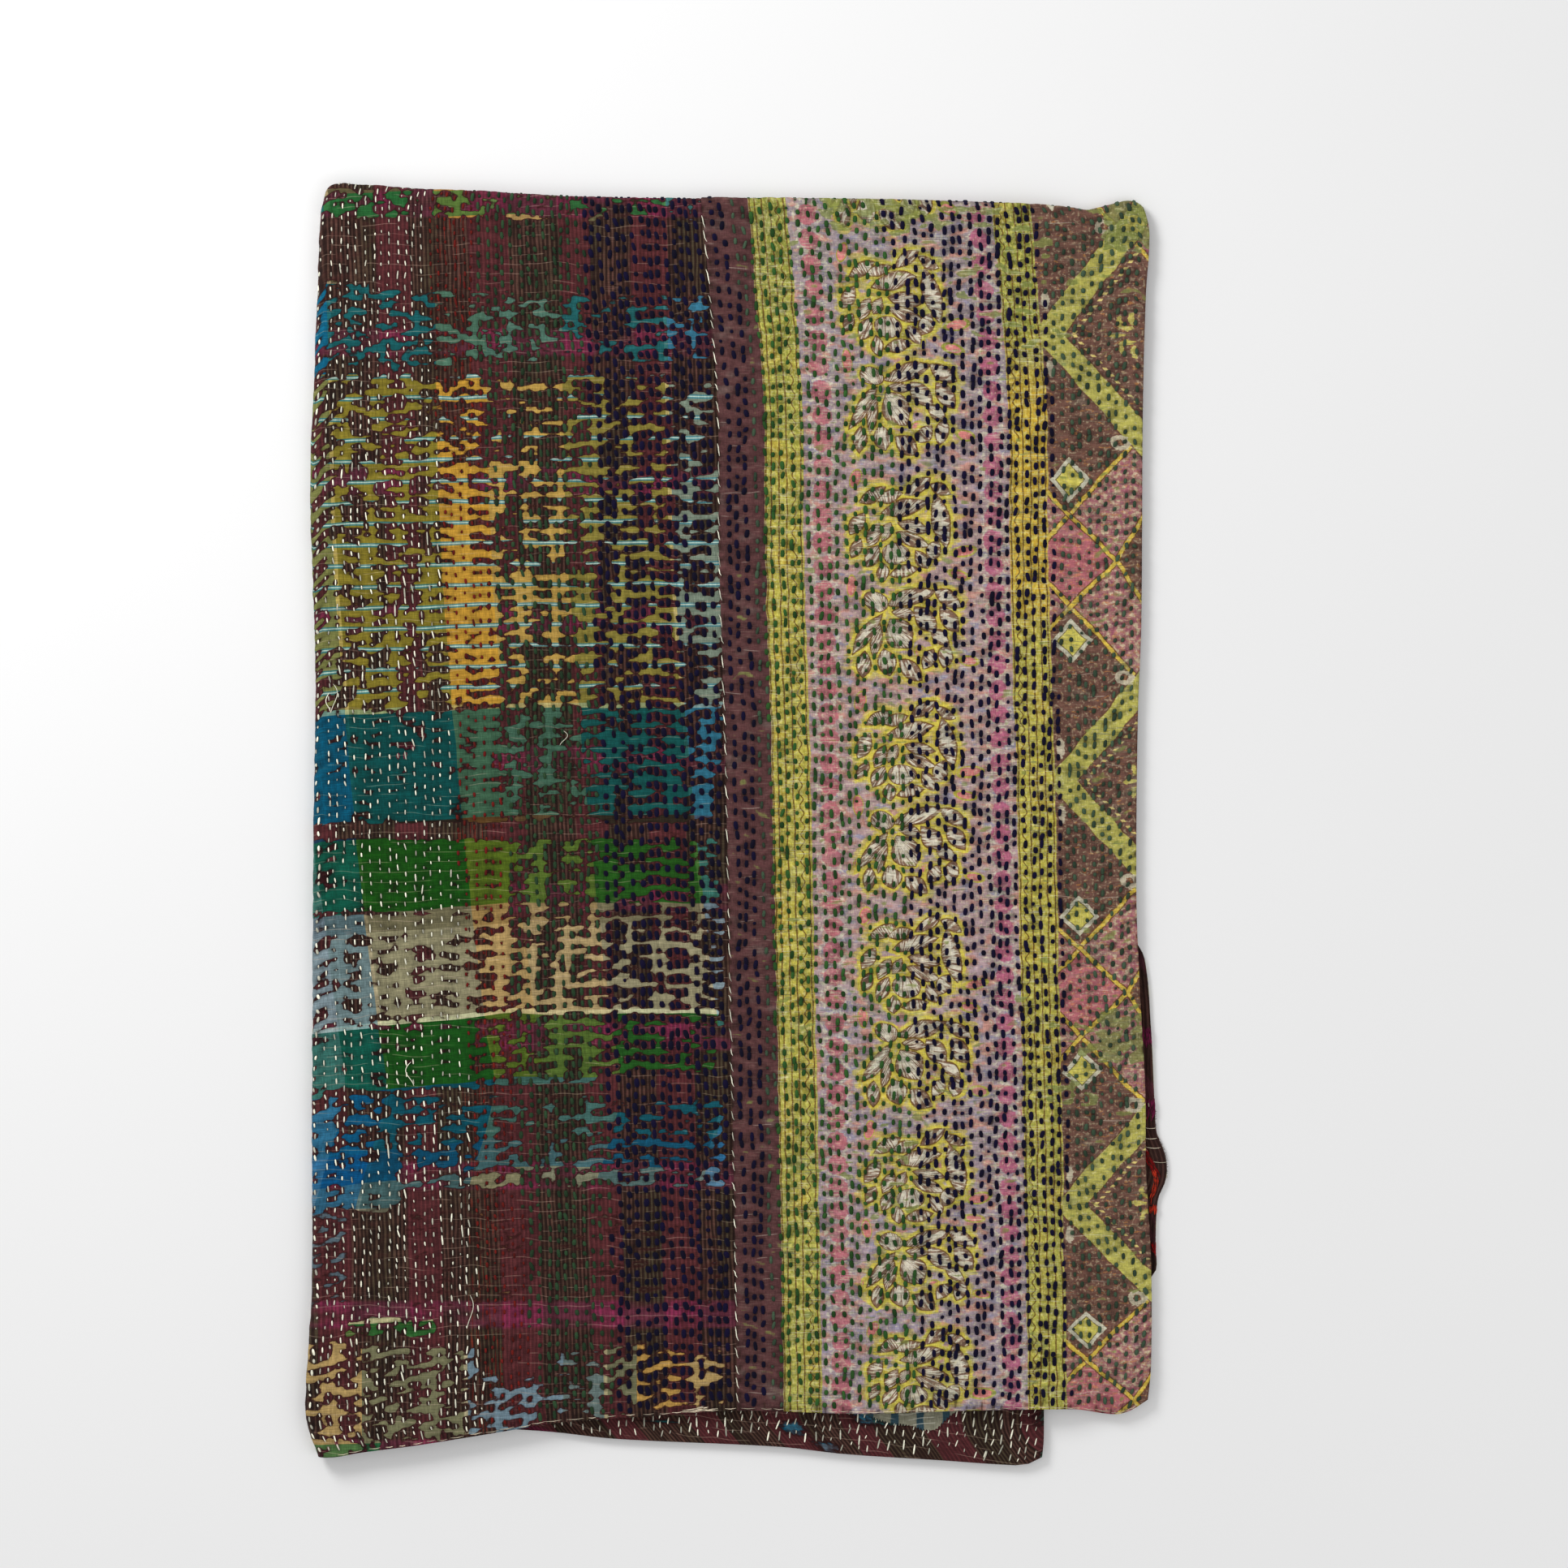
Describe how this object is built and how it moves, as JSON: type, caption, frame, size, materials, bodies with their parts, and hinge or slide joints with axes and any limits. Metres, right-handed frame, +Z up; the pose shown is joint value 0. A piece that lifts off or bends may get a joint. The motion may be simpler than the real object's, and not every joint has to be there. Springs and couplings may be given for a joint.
{
  "type": "folded kantha quilt",
  "caption": "Worn running-stitched cotton throw with a sewn-on sari strip, folded in half twice and lying flat as a thin pile of plies.",
  "frame": {"origin": "middle of the footprint of the folded quilt, on the surface it lies on", "axes": "+Z up out of the pile, +Y towards the top fold along the long side, +X towards the free side edges, away from the side fold"},
  "size_m": [0.8048, 1.1966, 0.0202],
  "materials": {
    "plaid_cotton": "matt worn cotton, plaid over patches of green, teal and cream",
    "strip_cotton": "matt printed cotton, yellow, lilac and brown",
    "lining_cotton": "matt striped cotton, grey-beige with teal stripes"
  },
  "bodies": {
    "root": {"quilted_ground": "plaid_cotton", "border_panel": "strip_cotton", "lining_scrap": "lining_cotton"}
  },
  "joints": []
}
